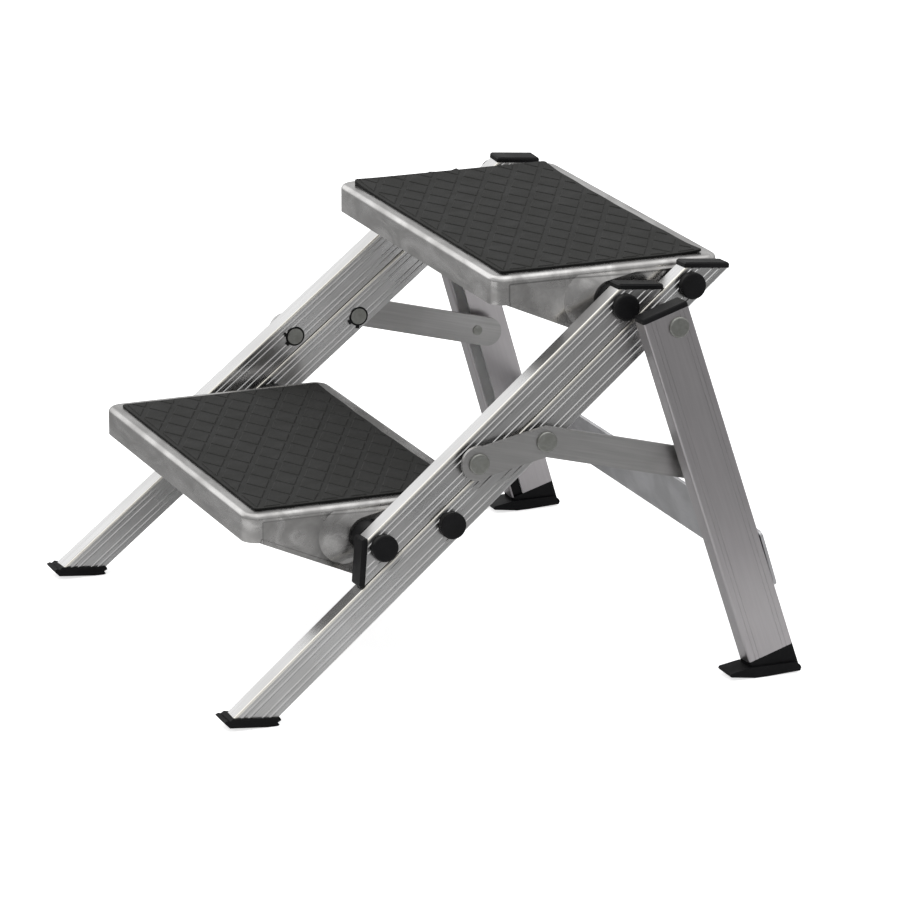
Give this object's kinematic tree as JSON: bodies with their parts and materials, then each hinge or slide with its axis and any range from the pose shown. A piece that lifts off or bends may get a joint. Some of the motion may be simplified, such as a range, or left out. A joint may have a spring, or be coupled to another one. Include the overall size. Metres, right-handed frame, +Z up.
{
  "type": "folding step stool",
  "caption": "Aluminium folding step stool with matted pan treads between twin ribbed rails, slotted rear legs and link bars",
  "frame": {"origin": "on the floor, midway between the sides and midway between the front toes and the rear heels", "axes": "+X to the right side as someone climbs the stool, +Y from the front toes to the rear legs, +Z up"},
  "size_m": [0.5996, 0.561, 0.3909],
  "materials": {
    "rail_aluminium": "bright ribbed extrusion",
    "tread_aluminium": "polished pressed sheet",
    "leg_aluminium": "satin",
    "mat_rubber": "patterned matte",
    "foot_rubber": "matte",
    "black_plastic": "moulded",
    "fastener_steel": "plated"
  },
  "bodies": {
    "rear_frame": {"rear_rail_right": "rail_aluminium", "rear_rail_left": "rail_aluminium", "front_foot_right": "foot_rubber", "front_foot_left": "foot_rubber", "rear_rail_cap_right": "black_plastic", "rear_rail_cap_left": "black_plastic", "rear_pivot_caps": "black_plastic", "rear_pivot_spacers": "black_plastic", "rear_rail_bushes": "black_plastic", "leg_pivot_spacers": "black_plastic"},
    "front_frame": {"front_rail_right": "rail_aluminium", "front_rail_left": "rail_aluminium", "front_rail_top_cap_right": "black_plastic", "front_rail_top_cap_left": "black_plastic", "front_rail_lower_cap_right": "black_plastic", "front_rail_lower_cap_left": "black_plastic", "front_pivot_caps": "black_plastic", "front_pivot_spacers": "black_plastic", "front_rail_bushes": "black_plastic"},
    "upper_step": {"upper_tread": "tread_aluminium", "upper_mat": "mat_rubber", "upper_tread_bolts": "fastener_steel", "upper_tread_nuts": "fastener_steel"},
    "lower_step": {"lower_tread": "tread_aluminium", "lower_mat": "mat_rubber", "lower_tread_bolts": "fastener_steel", "lower_tread_nuts": "fastener_steel"},
    "links": {"link_bar_right": "leg_aluminium", "link_bar_left": "leg_aluminium", "link_front_pin_right": "fastener_steel", "link_front_pin_left": "fastener_steel", "link_rear_pin_right": "fastener_steel", "link_rear_pin_left": "fastener_steel", "slider_pins": "fastener_steel"},
    "rear_legs": {"rear_leg_right": "leg_aluminium", "rear_leg_left": "leg_aluminium", "leg_top_cap_right": "black_plastic", "leg_top_cap_left": "black_plastic", "rear_foot_right": "foot_rubber", "rear_foot_left": "foot_rubber", "rear_brace": "leg_aluminium", "brace_rivets": "fastener_steel", "leg_pivot_rivets": "fastener_steel"}
  },
  "joints": [
    {"name": "fold", "type": "hinge", "parent": "rear_frame", "child": "upper_step", "pos_m": [0, 0.19044, 0.3694], "axis": [-1, 0, 0], "range_deg": [0, 114]},
    {"name": "front_rail_swing", "type": "hinge", "parent": "upper_step", "child": "front_frame", "pos_m": [0, 0.12316, 0.3557], "axis": [-1, 0, 0], "range_deg": [-114, 0]},
    {"name": "lower_step_swing", "type": "hinge", "parent": "rear_frame", "child": "lower_step", "pos_m": [0, -0.05374, 0.16911], "axis": [-1, 0, 0], "range_deg": [0, 114]},
    {"name": "link_swing", "type": "hinge", "parent": "rear_frame", "child": "links", "pos_m": [0, 0.03867, 0.23974], "axis": [-1, 0, 0], "range_deg": [0, 114]},
    {"name": "leg_swing", "type": "hinge", "parent": "rear_frame", "child": "rear_legs", "pos_m": [0, 0.15876, 0.34342], "axis": [-1, 0, 0], "range_deg": [0, 57]}
  ],
  "couplings": [
    {"joint": "front_rail_swing", "follows": "fold", "ratio": -1},
    {"joint": "lower_step_swing", "follows": "fold", "ratio": 1},
    {"joint": "link_swing", "follows": "fold", "ratio": 1},
    {"joint": "leg_swing", "follows": "fold", "ratio": 0.498}
  ]
}
